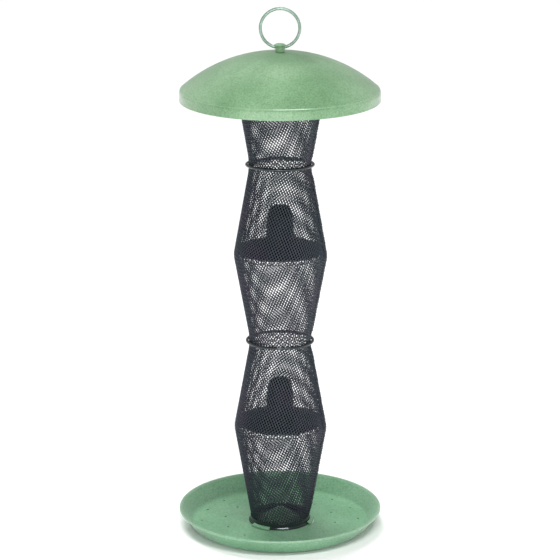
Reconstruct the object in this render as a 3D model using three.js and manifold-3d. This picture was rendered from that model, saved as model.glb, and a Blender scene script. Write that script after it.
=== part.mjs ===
// Hanging mesh tube bird feeder: a domed roof with a hanging ring, a tube of five woven wire cones
// that folds down like a bellows, two seed cones inside it, and a dish tray crimped to its foot.
// Millimetres, +Z up, origin at the centre of the tray's underside, front towards -Y.
import * as THREE from "three";
import { mergeVertices } from "three/addons/utils/BufferGeometryUtils.js";
import Module from "manifold-3d";

const wasm = await Module();
wasm.setup();

// ---------- Driving dimensions ----------

const gap = 0.3; // between two pieces that rest on each other

const tray = {
  sheet: 0.9,
  rimRadius: 92.5,
  flare: 11.7, // from the edge of the floor out to the rim
  height: 15.2,
  beadRadius: 1.25,
  coneRadius: 21.5, // pressed cone in the middle of the floor
  coneHeight: 12.5,
  coneTipRadius: 3.5,
  drainRadius: 1.15,
  drains: [
    { inset: 29.8, count: 12, turn: -9 }, // rings of holes, measured in from the edge of the floor; degrees
    { inset: 8.8, count: 16, turn: 2 },
  ],
};

// Three tongues of the tray's floor, folded over the foot hoop's flange; angles in degrees.
const tongue = { count: 3, first: -8, span: 38, slotSpan: 42, slotWidth: 2.4 };

const cloth = {
  wire: 0.65,
  wall: 0.3, // a plain wall as heavy as the woven cloth
  wideRadius: 40.7, // to the middle of the cloth
  waistRadius: 27.4,
  footRadius: 25.6,
  neck: 6, // straight length on each side of a waist
};
const sectionHeights = [89, 81, 80.5, 82.5, 85]; // from the foot up

const footHoop = { sheet: 0.6, height: 5.6, flange: 1.5 };
const footPlane = 4; // height at which the lowest cone starts
const waistRing = { wireRadius: 1.35, lowerTilt: 2, upperTilt: 3.5 }; // degrees, front edge up
const wideRing = { wireRadius: 1.2, edgeRoom: 2.4, lift: 3.5 };
const baffle = {
  sheet: 0.6,
  skirtRise: 9.5,
  chimneyRadius: 12.7,
  chimneyHeight: 29.9,
  shoulderRadius: 11.3, // of the chimney, just below its round top
  topRadius: 8.4,
  topHeight: 8,
  tabs: { count: 3, width: 4, length: 3.6 },
};
const baffleTurns = { lower: -65, upper: 90 }; // degrees, first tab
const topHoop = { sheet: 0.9, height: 7.5, flange: 5.3, cover: 2 };

const roof = { sheet: 0.9, radius: 89, creaseInset: 0.8, skirt: 8.4, domeHeight: 34.4, room: 3.7 };
const bridge = { sheet: 1.2, width: 14, flat: 10, foot: 3.6, lip: 4.8 };
const latch = { sheet: 0.6, width: 10, hook: 2.7, hookDrop: 3.2, tail: 7.2 };
const washer = { radius: 9, thickness: 1.2 };
const nut = { acrossFlats: 10, height: 5 };
const stud = {
  shankRadius: 3,
  bodyRadius: 4.4,
  headRadius: 5.2,
  headHeight: 1.8,
  headOverlap: 0.4, // how far the head comes down past the top of the cross hole
  tailPastNut: 1.2,
};
const ring = { outerRadius: 18.6, wireRadius: 1.35, footRoom: 2.6 };

const fine = 40; // sides of the large round pieces
const medium = 32;
const coarse = 24;
const wireSides = 6;

// ---------- Small helpers ----------

const radians = THREE.MathUtils.degToRad;
const sagitta = (sphereRadius, radius) => sphereRadius - Math.sqrt(sphereRadius ** 2 - radius ** 2);

// A solid of revolution about Z. The outline is a list of [radius, height] that runs anticlockwise,
// with the axis on its left, and is closed here unless both its ends lie on the axis.
function revolve(outline, sides) {
  const points = outline.map(([r, z]) => new THREE.Vector2(r, z));
  if (outline[0][0] !== 0) points.push(points[0].clone());
  return new THREE.LatheGeometry(points, sides).rotateX(Math.PI / 2);
}

// Points on an arc, from one angle to another in degrees.
function arc(centreR, centreZ, radius, from, to, steps) {
  return Array.from({ length: steps + 1 }, (_, i) => {
    const angle = radians(from + ((to - from) * i) / steps);
    return [centreR + radius * Math.cos(angle), centreZ + radius * Math.sin(angle)];
  });
}

// A bent strip, the same on both sides of X = 0: the [x, z] points of its middle line from the
// centre to the right-hand end, thickened to both sides and drawn out to its width along Y.
function bentStrip(rightHalf, thickness, width) {
  const leftHalf = rightHalf.slice(1).reverse().map(([x, z]) => [-x, z]);
  const line = [...leftHalf, ...rightHalf].map(([x, z]) => new THREE.Vector2(x, z));
  const side = (sign) =>
    line.map((point, i) => {
      const before = line[Math.max(i - 1, 0)];
      const after = line[Math.min(i + 1, line.length - 1)];
      const into = point.clone().sub(before);
      const out = after.clone().sub(point);
      if (i === 0) into.copy(out);
      if (i === line.length - 1) out.copy(into);
      const n1 = new THREE.Vector2(-into.y, into.x).normalize();
      const n2 = new THREE.Vector2(-out.y, out.x).normalize();
      const mitre = n1.clone().add(n2).normalize();
      return point.clone().addScaledVector(mitre, (sign * thickness) / 2 / mitre.dot(n1));
    });
  const shape = new THREE.Shape([...side(1), ...side(-1).reverse()]);
  const strip = new THREE.ExtrudeGeometry(shape, { depth: width, bevelEnabled: false });
  return strip.translate(0, 0, -width / 2).rotateX(Math.PI / 2);
}

// A piece of a flat ring, standing from one height to another; angles in degrees.
function ringSector(inner, outer, from, to, low, high) {
  const shape = new THREE.Shape();
  shape.absarc(0, 0, outer, radians(from), radians(to), false);
  shape.absarc(0, 0, inner, radians(to), radians(from), true);
  const options = { depth: high - low, bevelEnabled: false, curveSegments: 6 };
  return new THREE.ExtrudeGeometry(shape, options).translate(0, 0, low);
}

// An upright round bar, used to cut holes.
function bar(radius, length, sides = 12) {
  return new THREE.CylinderGeometry(radius, radius, length, sides).rotateX(Math.PI / 2);
}

function toSolid(geometry) {
  const bare = geometry.clone();
  bare.deleteAttribute("normal");
  bare.deleteAttribute("uv");
  const merged = mergeVertices(bare, 1e-4);
  return new wasm.Manifold(
    new wasm.Mesh({
      numProp: 3,
      vertProperties: new Float32Array(merged.attributes.position.array),
      triVerts: new Uint32Array(merged.index.array),
    }),
  );
}

function toGeometry(solid) {
  const mesh = solid.getMesh();
  const geometry = new THREE.BufferGeometry();
  geometry.setAttribute("position", new THREE.BufferAttribute(mesh.vertProperties, 3));
  geometry.setIndex(new THREE.BufferAttribute(mesh.triVerts, 1));
  geometry.computeVertexNormals();
  return geometry;
}

function combine(base, { add = [], cut = [] }) {
  let solid = toSolid(base);
  for (const piece of add) solid = solid.add(toSolid(piece));
  for (const piece of cut) solid = solid.subtract(toSolid(piece));
  return toGeometry(solid);
}

// ---------- Materials ----------

const sageCoat = () =>
  new THREE.MeshStandardMaterial({ color: 0x92ba92, roughness: 0.55, metalness: 0.1 });
const blackCoat = () =>
  new THREE.MeshStandardMaterial({ color: 0x24262b, roughness: 0.4, metalness: 0.3 });
const zincPlate = () =>
  new THREE.MeshStandardMaterial({ color: 0xb9bcc0, roughness: 0.35, metalness: 0.9 });

const feeder = new THREE.Group();

function place(parent, name, geometry, material, height = 0, turn = 0) {
  const mesh = new THREE.Mesh(geometry, material);
  mesh.name = name;
  mesh.position.z = height;
  mesh.rotation.z = radians(turn);
  parent.add(mesh);
  return mesh;
}

// ---------- Heights worked out from the driving dimensions ----------

const planes = [footPlane]; // the planes where the cones meet: foot, wide, waist, wide, waist, top
for (const height of sectionHeights) planes.push(planes.at(-1) + height);
const [, lowerWide, lowerWaist, upperWide, upperWaist, topPlane] = planes;

// ---------- Foot: tray and hoop ----------

const clothHalf = cloth.wire; // two wires cross, so the cloth is two wires thick
const footHoopBase = tray.sheet + gap;
const footHoopTop = footHoopBase + footHoop.height;
const footSlope = (cloth.wideRadius - cloth.footRadius) / sectionHeights[0]; // of the lowest cone's side
const clothAtHoopTop = cloth.footRadius + footSlope * (footHoopTop - footPlane);
const footHoopInner = clothAtHoopTop + cloth.wall / 2 + gap;
const footHoopOuter = footHoopInner + footHoop.sheet;
const footFlangeRadius = footHoopOuter + footHoop.flange;

function trayGeometry() {
  const { sheet, rimRadius, height, beadRadius, coneRadius, coneTipRadius } = tray;
  const floorRadius = rimRadius - tray.flare;
  const coneTop = sheet + tray.coneHeight;
  const beadR = rimRadius - beadRadius;
  const beadZ = height - beadRadius;
  const bead = arc(beadR, beadZ, beadRadius, -90, 180, 6);
  const outline = [
    [0, coneTop - sheet],
    [coneTipRadius - 0.3 * sheet, coneTop - 2 * sheet],
    [coneRadius - 1.4 * sheet, 0],
    [floorRadius - 0.4 * sheet, 0],
    [floorRadius + sheet, 0.6 * sheet],
    ...bead,
    [floorRadius + 0.5 * sheet, 2 * sheet],
    [floorRadius - 0.6 * sheet, sheet],
    [coneRadius, sheet],
    [coneTipRadius, coneTop - sheet],
    [0, coneTop],
  ];
  const root = footFlangeRadius + gap; // where a tongue leaves the floor
  const tongueUnder = footHoopBase + footHoop.sheet + gap;
  const add = [];
  const cut = [];
  for (let i = 0; i < tongue.count; i++) {
    const middle = tongue.first + (i * 360) / tongue.count;
    const [from, to] = [middle - tongue.span / 2, middle + tongue.span / 2];
    const [slotFrom, slotTo] = [middle - tongue.slotSpan / 2, middle + tongue.slotSpan / 2];
    cut.push(ringSector(root + sheet, root + tongue.slotWidth, slotFrom, slotTo, -1, 2 * sheet));
    const top = tongueUnder + sheet;
    add.push(ringSector(root, root + sheet, from, to, 0, top));
    add.push(ringSector(footHoopOuter + gap, root + 0.5 * sheet, from, to, tongueUnder, top));
  }
  for (const { inset, count, turn } of tray.drains) {
    const drainRing = floorRadius - inset;
    for (let i = 0; i < count; i++) {
      const angle = radians(turn + (i * 360) / count);
      const hole = bar(tray.drainRadius, 4 * sheet, 6);
      cut.push(hole.translate(drainRing * Math.cos(angle), drainRing * Math.sin(angle), 0));
    }
  }
  return combine(revolve(outline, fine), { add, cut });
}

function footHoopGeometry() {
  const { sheet, height } = footHoop;
  return revolve(
    [
      [footHoopInner, 0],
      [footFlangeRadius, 0],
      [footFlangeRadius, sheet],
      [footHoopOuter, sheet],
      [footHoopOuter, height],
      [footHoopInner, height],
    ],
    fine,
  );
}

place(feeder, "tray", trayGeometry(), sageCoat());
place(feeder, "foot_hoop", footHoopGeometry(), blackCoat(), footHoopBase);

// ---------- Tube: five cones of cloth ----------

// A cone of cloth from one plane to the next, standing on its lower plane, with a straight neck
// where it ends at a waist.
function coneGeometry(lowRadius, highRadius, height) {
  const half = cloth.wall / 2;
  const wall = [[lowRadius, gap / 2]];
  if (lowRadius === cloth.waistRadius) wall.push([lowRadius, cloth.neck]);
  if (highRadius === cloth.waistRadius) wall.push([highRadius, height - cloth.neck]);
  wall.push([highRadius, height - gap / 2]);
  const outside = wall.map(([r, z]) => [r + half, z]);
  const inside = wall.map(([r, z]) => [r - half, z]).reverse();
  return revolve([...outside, ...inside], fine);
}

const { footRadius, waistRadius, wideRadius } = cloth;
const clothRadii = [footRadius, wideRadius, waistRadius, wideRadius, waistRadius, wideRadius];

sectionHeights.forEach((height, i) => {
  const geometry = coneGeometry(clothRadii[i], clothRadii[i + 1], height);
  place(feeder, `mesh_cone_${i + 1}`, geometry, blackCoat(), planes[i]);
});

// ---------- Rings round the waists and inside the wide joints ----------

const waistRingRadius = cloth.waistRadius + clothHalf + gap + waistRing.wireRadius;
const wideRingRadius = cloth.wideRadius - clothHalf - wideRing.edgeRoom - wideRing.wireRadius;

const wireHoop = (radius, wireRadius) =>
  new THREE.TorusGeometry(radius, wireRadius, wireSides, medium);
const waistTorus = () => wireHoop(waistRingRadius, waistRing.wireRadius);
const wideTorus = () => wireHoop(wideRingRadius, wideRing.wireRadius);

const lowerWaistRing = place(feeder, "lower_waist_ring", waistTorus(), blackCoat(), lowerWaist);
const upperWaistRing = place(feeder, "upper_waist_ring", waistTorus(), blackCoat(), upperWaist);
lowerWaistRing.rotation.x = -radians(waistRing.lowerTilt);
upperWaistRing.rotation.x = -radians(waistRing.upperTilt);
place(feeder, "lower_wide_ring", wideTorus(), blackCoat(), lowerWide + wideRing.lift);
place(feeder, "upper_wide_ring", wideTorus(), blackCoat(), upperWide + wideRing.lift);

// ---------- Seed cones: a brim that sits on the wide ring, and a closed chimney ----------

const brimHeight = wideRing.lift + wideRing.wireRadius + gap; // above the wide plane
const brimRadius = wideRingRadius + wideRing.wireRadius + gap + baffle.sheet;

function baffleGeometry() {
  const { sheet, skirtRise, chimneyRadius, chimneyHeight, shoulderRadius, tabs } = baffle;
  const { topRadius, topHeight } = baffle;
  const top = skirtRise + chimneyHeight;
  const shoulder = top - topHeight;
  const cap = (inset) =>
    [0, 30, 60, 90].map((degrees) => {
      const share = Math.sin(radians(degrees));
      const r = degrees === 90 ? 0 : topRadius * Math.cos(radians(degrees)) - inset;
      return [r, top - topHeight / 2 + (topHeight / 2) * share - inset];
    });
  const outside = [
    [brimRadius, 0],
    [brimRadius, sheet],
    [chimneyRadius, skirtRise],
    [shoulderRadius, shoulder],
    ...cap(0),
  ];
  const inside = [
    [brimRadius - sheet, 0],
    [chimneyRadius - sheet, skirtRise - sheet],
    [shoulderRadius - sheet, shoulder],
    ...cap(sheet),
  ];
  const add = [];
  for (let i = 0; i < tabs.count; i++) {
    const tab = new THREE.BoxGeometry(sheet, tabs.width, tabs.length);
    tab.translate(brimRadius - sheet / 2, 0, 0.5 * sheet - tabs.length / 2);
    add.push(tab.rotateZ(radians((i * 360) / tabs.count)));
  }
  return combine(revolve([...inside.reverse(), ...outside], medium), { add });
}

place(feeder, "lower_seed_cone", baffleGeometry(), blackCoat(), lowerWide + brimHeight, baffleTurns.lower);
place(feeder, "upper_seed_cone", baffleGeometry(), blackCoat(), upperWide + brimHeight, baffleTurns.upper);

// ---------- Top hoop: a band round the last cone, with a flange that the latch hooks under ----------

const topHoopInner = cloth.wideRadius + clothHalf + gap;
const topHoopOuter = topHoopInner + topHoop.sheet;
const topHoopTop = topPlane + topHoop.cover;
const flangeEdge = topHoopOuter - topHoop.flange;

function topHoopGeometry() {
  const { sheet, height } = topHoop;
  return revolve(
    [
      [topHoopInner, -height],
      [topHoopOuter, -height],
      [topHoopOuter, 0],
      [flangeEdge, 0],
      [flangeEdge, -sheet],
      [topHoopInner, -sheet],
    ],
    fine,
  );
}

place(feeder, "top_hoop", topHoopGeometry(), blackCoat(), topHoopTop);

// ---------- Roof: dome, the bridge it stands on, latch, stud, nut and ring ----------

const creaseRadius = roof.radius - roof.creaseInset;
const domeSphere = (creaseRadius ** 2 + roof.domeHeight ** 2) / (2 * roof.domeHeight);
const bridgeFoot = topHoopTop + gap;
const lipInside = topHoopOuter + gap;
const bridgeEnd = Math.hypot(lipInside + bridge.sheet, bridge.width / 2);
const apexUnder = bridgeFoot + bridge.sheet + roof.room + sagitta(domeSphere, bridgeEnd);
const apex = apexUnder + roof.sheet;
const washerTop = apexUnder - sagitta(domeSphere, washer.radius) - gap;
const bridgeTop = washerTop - washer.thickness - gap;
const latchTop = bridgeTop - bridge.sheet - gap;
const nutTop = latchTop - latch.sheet - gap;
const studHole = stud.shankRadius + gap;

// The dome and its skirt, one sheet; heights are measured from the apex.
function roofGeometry() {
  const { sheet, radius, skirt, domeHeight } = roof;
  const drop = (r) => -sagitta(domeSphere, r);
  const steps = 7;
  const along = Array.from({ length: steps + 1 }, (_, i) =>
    studHole + ((creaseRadius - studHole) * i) / steps,
  );
  const top = along.map((r) => [r, drop(r)]);
  const under = along.map((r) => [Math.min(r, radius - 1.6 * sheet), drop(r) - sheet]);
  const creaseZ = -domeHeight;
  return revolve(
    [
      ...under,
      [radius - sheet, creaseZ - 1.6 * sheet],
      [radius - sheet, creaseZ - skirt],
      [radius, creaseZ - skirt],
      [radius, creaseZ - sheet],
      ...top.reverse(),
    ],
    fine,
  );
}

function bridgeGeometry() {
  const { sheet, width, flat, foot, lip } = bridge;
  const lipLine = lipInside + sheet / 2;
  const strip = bentStrip(
    [
      [0, bridgeTop - sheet / 2],
      [flat, bridgeTop - sheet / 2],
      [lipLine - foot, bridgeFoot + sheet / 2],
      [lipLine, bridgeFoot + sheet / 2],
      [lipLine, bridgeFoot - lip],
    ],
    sheet,
    width,
  );
  return combine(strip, { cut: [bar(studHole, 4 * bridge.width).translate(0, 0, bridgeTop)] });
}

function latchGeometry() {
  const { sheet, width, hook, hookDrop, tail } = latch;
  const leg = Math.sqrt(flangeEdge ** 2 - (width / 2) ** 2) - gap - sheet;
  const underFlange = topHoopTop - topHoop.sheet;
  const strip = bentStrip(
    [
      [0, latchTop - sheet / 2],
      [bridge.flat, latchTop - sheet / 2],
      [leg, topHoopTop + gap],
      [leg, underFlange + gap],
      [leg + hook, underFlange + gap - hookDrop],
      [leg, underFlange + gap - hookDrop - tail],
    ],
    sheet,
    width,
  );
  return combine(strip, { cut: [bar(studHole, 4 * latch.hookDrop).translate(0, 0, latchTop)] });
}

function washerGeometry() {
  const { radius, thickness } = washer;
  return revolve(
    [
      [studHole, -thickness],
      [radius, -thickness],
      [radius, 0],
      [studHole, 0],
    ],
    coarse,
  );
}

function nutGeometry() {
  const cornerRadius = nut.acrossFlats / 2 / Math.cos(Math.PI / 6);
  const hexagon = new THREE.CylinderGeometry(cornerRadius, cornerRadius, nut.height, 6);
  const body = hexagon.rotateX(Math.PI / 2).translate(0, 0, -nut.height / 2);
  return combine(body, { cut: [bar(studHole, 3 * nut.height, 16)] });
}

const ringRadius = ring.outerRadius - ring.wireRadius;
const ringFoot = apex + ring.footRoom + ring.wireRadius; // middle of the wire in the stud's cross hole
const crossHole = ring.wireRadius + sagitta(ringRadius, stud.headRadius) + gap / 2;

// A post that stands on the dome, with a threaded shank down to the nut and a cross hole for the ring.
function studGeometry() {
  const { shankRadius, bodyRadius, headRadius, headHeight, headOverlap, tailPastNut } = stud;
  const shoulder = apex + gap;
  const neck = ringFoot + crossHole - headOverlap;
  const flare = headRadius - bodyRadius;
  const outline = [
    [0, nutTop - nut.height - tailPastNut],
    [shankRadius, nutTop - nut.height - tailPastNut],
    [shankRadius, shoulder],
    [bodyRadius, shoulder],
    [bodyRadius, neck - flare],
    [headRadius, neck],
    [headRadius, neck + headHeight / 3],
    [0.7 * headRadius, neck + 0.85 * headHeight],
    [0, neck + headHeight],
  ];
  const hole = bar(crossHole, 4 * headRadius, 12).rotateY(Math.PI / 2).translate(0, 0, ringFoot);
  return combine(revolve(outline, coarse), { cut: [hole] });
}

function ringGeometry() {
  return wireHoop(ringRadius, ring.wireRadius).rotateX(Math.PI / 2);
}

const roofGroup = new THREE.Group();
feeder.add(roofGroup);
place(roofGroup, "roof", roofGeometry(), sageCoat(), apex);
place(roofGroup, "roof_bridge", bridgeGeometry(), zincPlate());
place(roofGroup, "latch_spring", latchGeometry(), zincPlate());
place(roofGroup, "roof_washer", washerGeometry(), zincPlate(), washerTop);
place(roofGroup, "roof_nut", nutGeometry(), zincPlate(), nutTop);
place(roofGroup, "hanger_stud", studGeometry(), sageCoat());
place(roofGroup, "hanging_ring", ringGeometry(), sageCoat(), ringFoot + ringRadius);

export default feeder;
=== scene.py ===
"""A hanging mesh tube bird feeder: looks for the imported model.

Everything is in metres in the model's own frame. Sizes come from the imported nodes' boxes, and the
few that a box can't give, such as a wire's thickness, are named below. Each new surface is a grid
of points worked out with numpy: an outline turned about Z, or a section carried along a path.
"""

import math

import bmesh
import bpy
import numpy as np
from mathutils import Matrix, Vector


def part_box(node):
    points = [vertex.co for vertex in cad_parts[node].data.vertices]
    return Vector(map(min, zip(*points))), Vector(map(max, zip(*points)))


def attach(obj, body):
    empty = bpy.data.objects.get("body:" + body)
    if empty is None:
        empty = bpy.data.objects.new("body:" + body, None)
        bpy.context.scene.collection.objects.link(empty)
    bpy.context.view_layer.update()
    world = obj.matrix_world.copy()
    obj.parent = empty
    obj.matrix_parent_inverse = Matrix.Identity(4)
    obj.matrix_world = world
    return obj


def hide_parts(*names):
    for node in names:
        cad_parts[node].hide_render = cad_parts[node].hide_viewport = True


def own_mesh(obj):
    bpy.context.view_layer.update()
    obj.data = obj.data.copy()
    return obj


MM = 0.001
TAU = 2 * math.pi

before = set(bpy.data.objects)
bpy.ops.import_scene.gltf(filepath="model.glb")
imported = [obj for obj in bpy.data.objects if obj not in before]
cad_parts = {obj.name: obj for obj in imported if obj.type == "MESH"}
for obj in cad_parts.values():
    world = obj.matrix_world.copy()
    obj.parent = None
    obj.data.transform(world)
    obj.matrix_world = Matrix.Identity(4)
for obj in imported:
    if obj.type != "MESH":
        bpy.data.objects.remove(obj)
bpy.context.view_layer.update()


# ---------- Sizes read from the frame ----------

def low(node):
    """The node's lowest corner at rest."""
    return np.array(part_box(node)[0], float)


def high(node):
    """The node's highest corner at rest."""
    return np.array(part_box(node)[1], float)


def outer_radius(node):
    """Half the node's width along X."""
    return (high(node)[0] - low(node)[0]) / 2


TOUCH = 0.3 * MM            # the gap that stands for two pieces in contact
CLOTH_WIRE = 0.65 * MM      # diameter of the bare wire that the cloth is woven from
COATED_WIRE = 0.82 * MM     # the same wire with its coat, which fills the crossings a little
CLOTH_PITCH = 2.3 * MM      # distance between neighbouring wires of one family
CLOTH_BIAS = math.radians(37.5)     # each family's angle to the middle line of the flat blank
BLANK_MIDDLE = math.radians(165)    # direction from the axis to the blank's middle line
HEM_WIRE = 0.36 * MM        # radius of the wire that a cone's cut ends are welded to
LAP = 5 * MM                # width of the lap where the blank's two straight edges meet
LAP_RAMP = 3 * MM           # how far before the lap the cloth starts to rise over its other edge
CLOTH_WALL = 0.3 * MM       # wall of the plain cones that stand for the cloth in the frame

cone_names = [f"mesh_cone_{i}" for i in range(1, 6)]
planes = [low(cone_names[0])[2] - TOUCH / 2] + [high(name)[2] + TOUCH / 2 for name in cone_names]
wide_radius = outer_radius(cone_names[0]) - CLOTH_WALL / 2
waist_ring_radius = outer_radius("lower_waist_ring")
WAIST_WIRE = 1.35 * MM      # radius of the waist rings' wire
WIDE_WIRE = 1.2 * MM        # radius of the wide rings' wire
waist_radius = waist_ring_radius - 2 * WAIST_WIRE - TOUCH - CLOTH_WIRE
NECK = 6 * MM               # length of the straight stretch at a waist
FOOT_SHEET = 0.6 * MM       # wall of the foot hoop
FOOT_FLANGE = 1.5 * MM      # how far its flange stands out
FOOT_SLOPE = 0.9 * MM       # the slope between the hoop's band and its flange
foot_hoop_radius = outer_radius("foot_hoop") - FOOT_FLANGE
foot_radius = foot_hoop_radius - FOOT_SHEET - TOUCH - CLOTH_WIRE
TOP_SHEET = 0.9 * MM        # wall of the top hoop
TOP_FLANGE = 5.3 * MM       # how far its flange turns in
TRAY_SHEET = 0.9 * MM       # wall of the tray
ROOF_SHEET = 0.9 * MM       # wall of the roof
ROOF_HEM = 0.3 * MM         # how far the skirt's edge stays above the node's lowest point
ROOF_SKIRT = 9.6 * MM       # height of the roof's upright skirt
ROOF_DOME = 32.9 * MM       # height of the dome above its crease
RING_WIRE = 1.35 * MM       # radius of the hanging ring's wire
STUD_HOLE = 3.3 * MM        # radius of the holes that the stud passes through


# ---------- Meshes ----------

def plain_piece(name, points, faces):
    """A piece from points (n, 3) and a list of face index arrays, each (m, k)."""
    mesh = bpy.data.meshes.new(name)
    loops = np.concatenate([f.ravel() for f in faces]).astype(np.int32)
    sizes = np.concatenate([np.full(len(f), f.shape[1]) for f in faces]).astype(np.int32)
    mesh.vertices.add(len(points))
    mesh.vertices.foreach_set("co", np.asarray(points, np.float32).ravel())
    mesh.loops.add(len(loops))
    mesh.loops.foreach_set("vertex_index", loops)
    mesh.polygons.add(len(sizes))
    starts = np.concatenate([[0], np.cumsum(sizes)[:-1]]).astype(np.int32)
    mesh.polygons.foreach_set("loop_start", starts)
    mesh.polygons.foreach_set("loop_total", sizes)
    mesh.update(calc_edges=True)
    piece = bpy.data.objects.new(name, mesh)
    bpy.context.collection.objects.link(piece)
    return piece


def smooth(piece, angle):
    """Smooths the piece's edges that are less sharp than an angle in degrees."""
    piece.data.polygons.foreach_set("use_smooth", np.ones(len(piece.data.polygons), bool))
    piece.data.set_sharp_from_angle(angle=math.radians(angle))


def mesh_piece(name, points, faces, smooth_angle=35):
    """A plain piece, cleaned and smoothed."""
    piece = plain_piece(name, points, faces)
    tidy(piece, smooth_angle)
    return piece


def tidy(piece, smooth_angle, recalculate=True):
    """Merges doubled points, turns the faces outwards and smooths all but the sharp edges."""
    edit = bmesh.new()
    edit.from_mesh(piece.data)
    bmesh.ops.remove_doubles(edit, verts=edit.verts, dist=1e-7)
    bmesh.ops.dissolve_degenerate(edit, edges=edit.edges, dist=1e-8)
    if recalculate:
        bmesh.ops.recalc_face_normals(edit, faces=edit.faces)
    edit.to_mesh(piece.data)
    edit.free()
    smooth(piece, smooth_angle)


def grid_faces(rows, columns, wrap_rows=False, wrap_columns=False):
    """Quads between neighbours of a rows x columns grid of points, numbered row by row."""
    i = np.arange(rows if wrap_rows else rows - 1)[:, None]
    j = np.arange(columns if wrap_columns else columns - 1)[None, :]
    i2, j2 = (i + 1) % rows, (j + 1) % columns
    corners = [i * columns + j, i2 * columns + j, i2 * columns + j2, i * columns + j2]
    return np.stack([np.broadcast_to(c, (i.size, j.size)).ravel() for c in corners], axis=1)


def turned(name, outline, sides=160, smooth_angle=35):
    """A solid of revolution: point (r, z) of a closed outline goes to (r cos a, r sin a, z) for
    each angle a of a full turn."""
    r, z = np.array(outline, float).T
    a = np.linspace(0, TAU, sides, endpoint=False)[:, None]
    points = np.stack([r * np.cos(a), r * np.sin(a), np.broadcast_to(z, (sides, len(z)))], axis=-1)
    return mesh_piece(name, points.reshape(-1, 3), [grid_faces(sides, len(r), True, True)], smooth_angle)


def wire_loop(name, radius, wire, height, around=20, tilt=0.0):
    """A ring of round wire: a circle of radius wire carried round a larger circle, whose height
    falls by tilt times its distance backwards, so that its front edge is up."""
    sides = 160
    a = np.linspace(0, TAU, sides, endpoint=False)[:, None]
    b = np.linspace(0, TAU, around, endpoint=False)[None, :]
    r = radius + wire * np.cos(b)
    z = height + wire * np.sin(b) - tilt * r * np.sin(a)
    points = np.stack([r * np.cos(a), r * np.sin(a), z], axis=-1)
    return mesh_piece(name, points.reshape(-1, 3), [grid_faces(sides, around, True, True)])


def rounded(corners, steps=6):
    """A closed outline from (r, z, fillet) corners: each corner with a fillet becomes an arc that
    leaves both its sides at a tangent."""
    corners = np.array(corners, float)
    out = []
    for k, (r, z, fillet) in enumerate(corners):
        here = np.array([r, z])
        if fillet <= 0:
            out.append(here[None])
            continue
        back = corners[k - 1, :2] - here
        ahead = corners[(k + 1) % len(corners), :2] - here
        back, ahead = back / np.linalg.norm(back), ahead / np.linalg.norm(ahead)
        half = math.acos(np.clip(back @ ahead, -1, 1)) / 2
        middle = (back + ahead) / np.linalg.norm(back + ahead)
        centre = here + middle * fillet / math.sin(half)
        start = here + back * fillet / math.tan(half) - centre
        end = here + ahead * fillet / math.tan(half) - centre
        sweep = math.atan2(start[0] * end[1] - start[1] * end[0], start @ end)
        t = np.linspace(0, sweep, steps + 1)[:, None]
        spun = start * np.cos(t) + np.array([-start[1], start[0]]) * np.sin(t)
        out.append(centre + spun)
    return np.concatenate(out)


def sheet_outline(path, thickness):
    """The closed outline of a sheet: the path, then the path moved to its left by the thickness,
    taken backwards."""
    path = np.asarray(path, float)
    along = np.gradient(path, axis=0)
    along /= np.linalg.norm(along, axis=1, keepdims=True)
    left = np.stack([-along[:, 1], along[:, 0]], axis=1)
    return np.concatenate([path, (path + left * thickness)[::-1]])


def joined(name, pieces):
    """Several pieces as one object."""
    with bpy.context.temp_override(
        active_object=pieces[0], object=pieces[0],
        selected_editable_objects=pieces, selected_objects=pieces,
    ):
        bpy.ops.object.join()
    pieces[0].name = name
    pieces[0].data.name = name
    return pieces[0]


def applied(piece, smooth_angle):
    """The piece with its modifiers worked into its mesh."""
    bpy.context.view_layer.update()
    evaluated = piece.evaluated_get(bpy.context.evaluated_depsgraph_get())
    mesh = bpy.data.meshes.new_from_object(evaluated)
    piece.modifiers.clear()
    piece.data = mesh
    tidy(piece, smooth_angle, recalculate=False)
    return piece


def drilled(piece, cutter, smooth_angle=35):
    """The piece with the cutter's shape taken away."""
    cut = piece.modifiers.new("drill", "BOOLEAN")
    cut.object = cutter
    cut.solver = "EXACT"
    applied(piece, smooth_angle)
    bpy.data.objects.remove(cutter)
    return piece


def rod(name, radius, start, end):
    """A round bar from one point to another, a circle carried along a straight line."""
    sides = 40
    start, end = np.array(start, float), np.array(end, float)
    along = (end - start) / np.linalg.norm(end - start)
    across = np.cross(along, [0, 0, 1.0]) if abs(along[2]) < 0.9 else np.cross(along, [1.0, 0, 0])
    across /= np.linalg.norm(across)
    other = np.cross(along, across)
    a = np.linspace(0, TAU, sides, endpoint=False)[:, None]
    circle = radius * (np.cos(a) * across + np.sin(a) * other)
    points = np.concatenate([start + circle, end + circle])
    caps = np.stack([np.arange(sides)[::-1], sides + np.arange(sides)])
    return mesh_piece(name, points, [grid_faces(2, sides, False, True), caps])


# ---------- Materials ----------

def material(name, colour, roughness, metallic=0.0):
    """A Principled material; returns it, its nodes, a linker and the shader."""
    made = bpy.data.materials.new(name)
    made.use_nodes = True
    nodes, link = made.node_tree.nodes, made.node_tree.links.new
    shader = nodes["Principled BSDF"]
    shader.inputs["Base Color"].default_value = (*colour, 1)
    shader.inputs["Roughness"].default_value = roughness
    shader.inputs["Metallic"].default_value = metallic
    return made, nodes, link, shader


def noise(nodes, link, scale, detail=3.0, roughness=0.5):
    """Noise on Object coordinates, scale in features to the metre."""
    place = nodes.new("ShaderNodeTexCoord")
    pattern = nodes.new("ShaderNodeTexNoise")
    pattern.inputs["Scale"].default_value = scale
    pattern.inputs["Detail"].default_value = detail
    pattern.inputs["Roughness"].default_value = roughness
    link(place.outputs["Object"], pattern.inputs["Vector"])
    return pattern.outputs["Fac"]


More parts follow.
